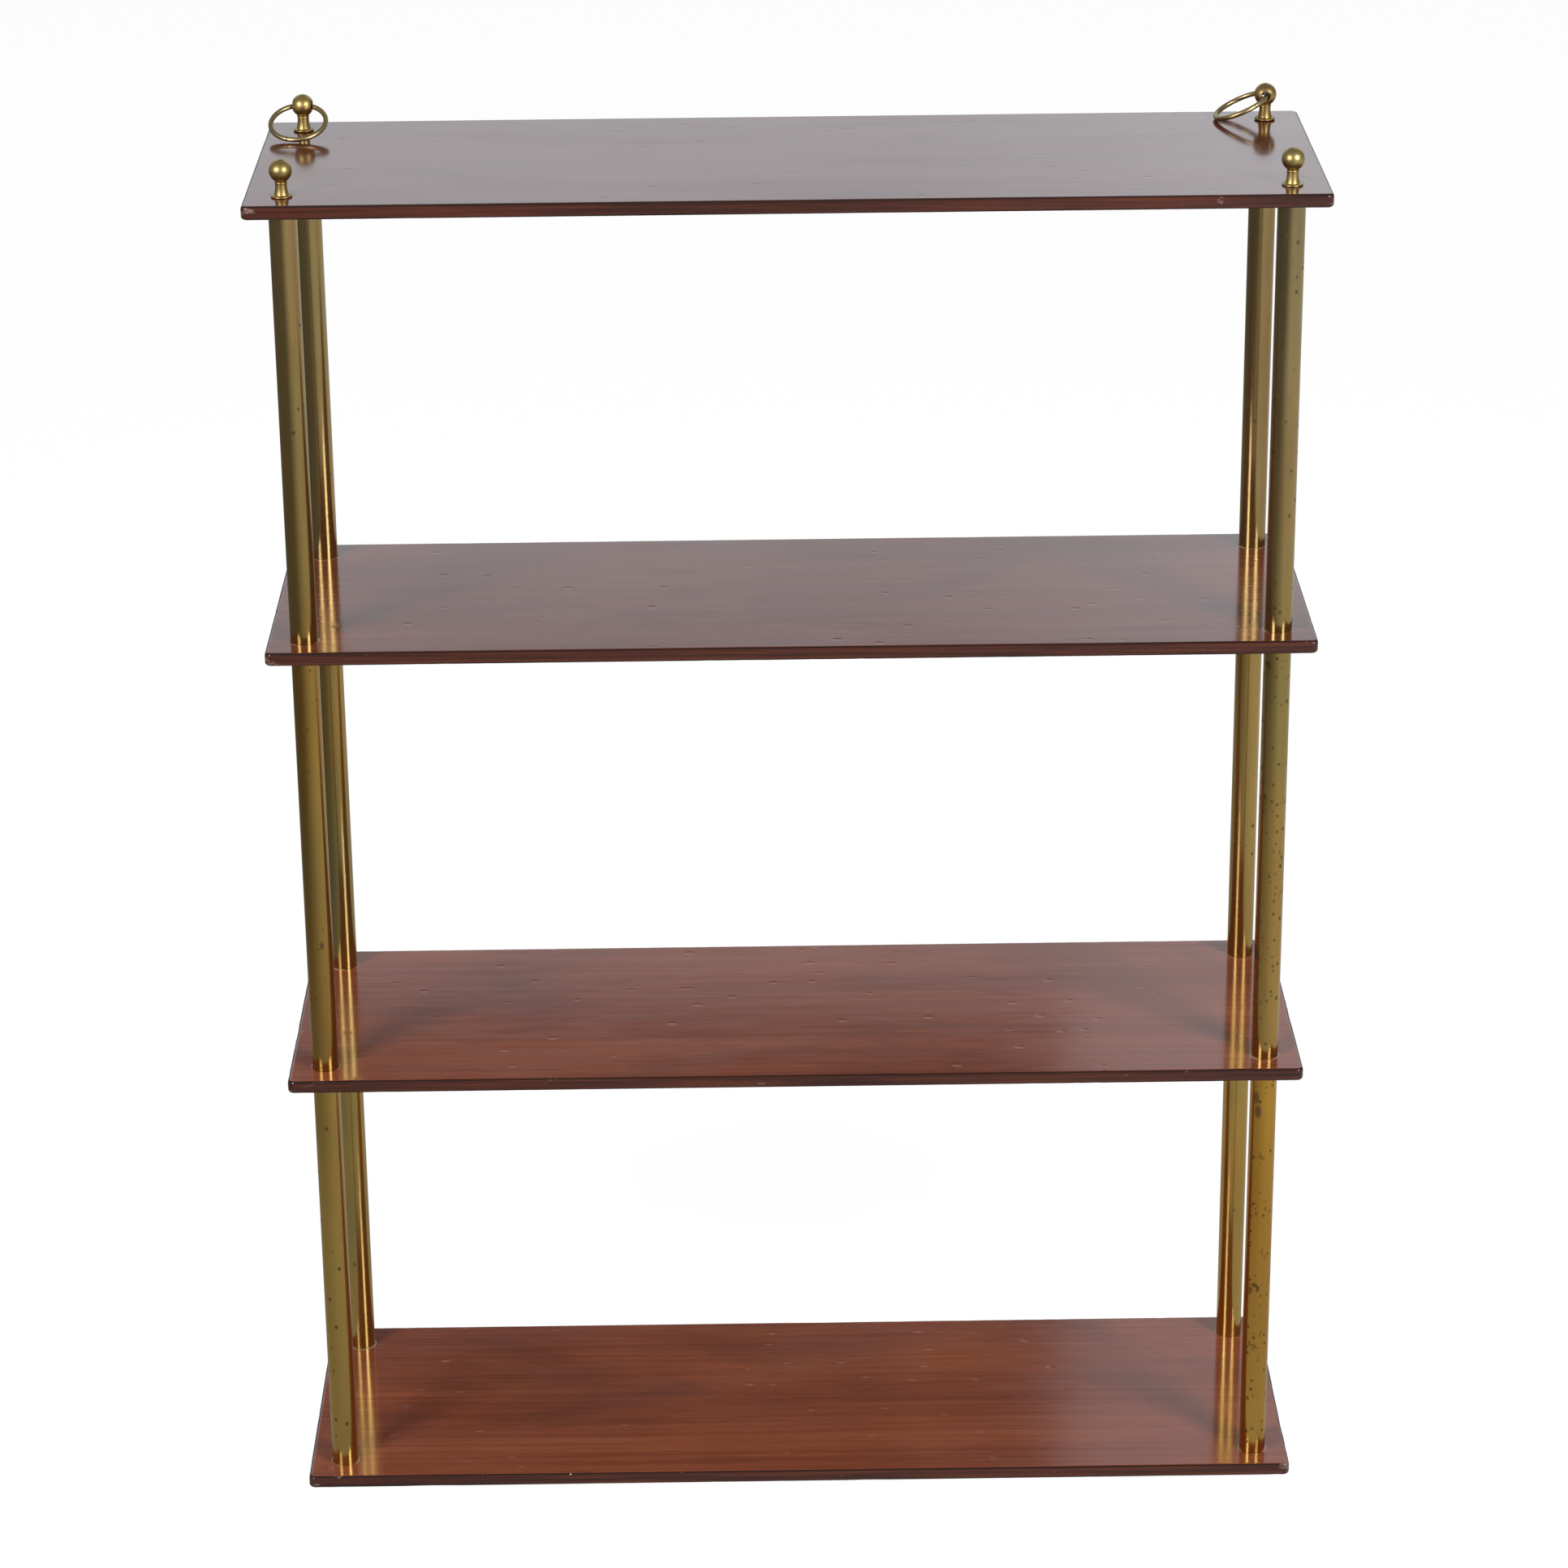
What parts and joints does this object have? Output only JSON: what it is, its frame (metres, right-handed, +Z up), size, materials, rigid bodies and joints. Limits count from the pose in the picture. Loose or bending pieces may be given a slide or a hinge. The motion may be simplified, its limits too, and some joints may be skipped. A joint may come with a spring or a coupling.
{
  "type": "hanging tiered wall shelf",
  "caption": "Tiered hanging shelf of thin mahogany boards on brass tube posts, with turned ball finials and a pair of folding brass hanging rings at the back.",
  "frame": {"origin": "centre of the footprint, in the plane of the undersides of the nuts that the shelf stands on", "axes": "+X along the boards to the viewer's right, +Y towards the wall (back), +Z up"},
  "size_m": [0.61, 0.192, 0.8432],
  "materials": {
    "mahogany": "french polished, worn",
    "tube_brass": "aged, unlacquered, brown-green patina",
    "turned_brass": "aged, handled bright",
    "ring_brass": "aged, worn bright on the outside",
    "nut_brass": "aged, dull",
    "tie_rod_steel": "plain drawn, dull"
  },
  "bodies": {
    "frame": {"board_bottom": "mahogany", "board_lower": "mahogany", "board_upper": "mahogany", "board_top": "mahogany", "tube_lower_front_left": "tube_brass", "tube_lower_front_right": "tube_brass", "tube_lower_rear_left": "tube_brass", "tube_lower_rear_right": "tube_brass", "tube_middle_front_left": "tube_brass", "tube_middle_front_right": "tube_brass", "tube_middle_rear_left": "tube_brass", "tube_middle_rear_right": "tube_brass", "tube_upper_front_left": "tube_brass", "tube_upper_front_right": "tube_brass", "tube_upper_rear_left": "tube_brass", "tube_upper_rear_right": "tube_brass", "rod_front_left": "tie_rod_steel", "rod_front_right": "tie_rod_steel", "rod_rear_left": "tie_rod_steel", "rod_rear_right": "tie_rod_steel", "nut_front_left": "nut_brass", "nut_front_right": "nut_brass", "nut_rear_left": "nut_brass", "nut_rear_right": "nut_brass", "finial_front_left": "turned_brass", "finial_front_right": "turned_brass"},
    "rear_left_finial": {"finial_rear_left": "turned_brass"},
    "rear_right_finial": {"finial_rear_right": "turned_brass"},
    "left_ring": {"ring_left": "ring_brass"},
    "right_ring": {"ring_right": "ring_brass"}
  },
  "joints": [
    {"name": "left_finial_swivel", "type": "hinge", "parent": "frame", "child": "rear_left_finial", "pos_m": [-0.2835, 0.0745, 0.8215], "axis": [0, 0, 1], "range_deg": [-93, 107]},
    {"name": "right_finial_swivel", "type": "hinge", "parent": "frame", "child": "rear_right_finial", "pos_m": [0.2835, 0.0745, 0.8215], "axis": [0, 0, 1], "range_deg": [-9, 191]},
    {"name": "left_ring_hinge", "type": "hinge", "parent": "rear_left_finial", "child": "left_ring", "pos_m": [-0.2835, 0.0745, 0.8367], "axis": [-0.9925, 0.1219, 0], "range_deg": [0, 228]},
    {"name": "right_ring_hinge", "type": "hinge", "parent": "rear_right_finial", "child": "right_ring", "pos_m": [0.2835, 0.0745, 0.8367], "axis": [0.0175, 0.9998, 0], "range_deg": [0, 228]}
  ]
}
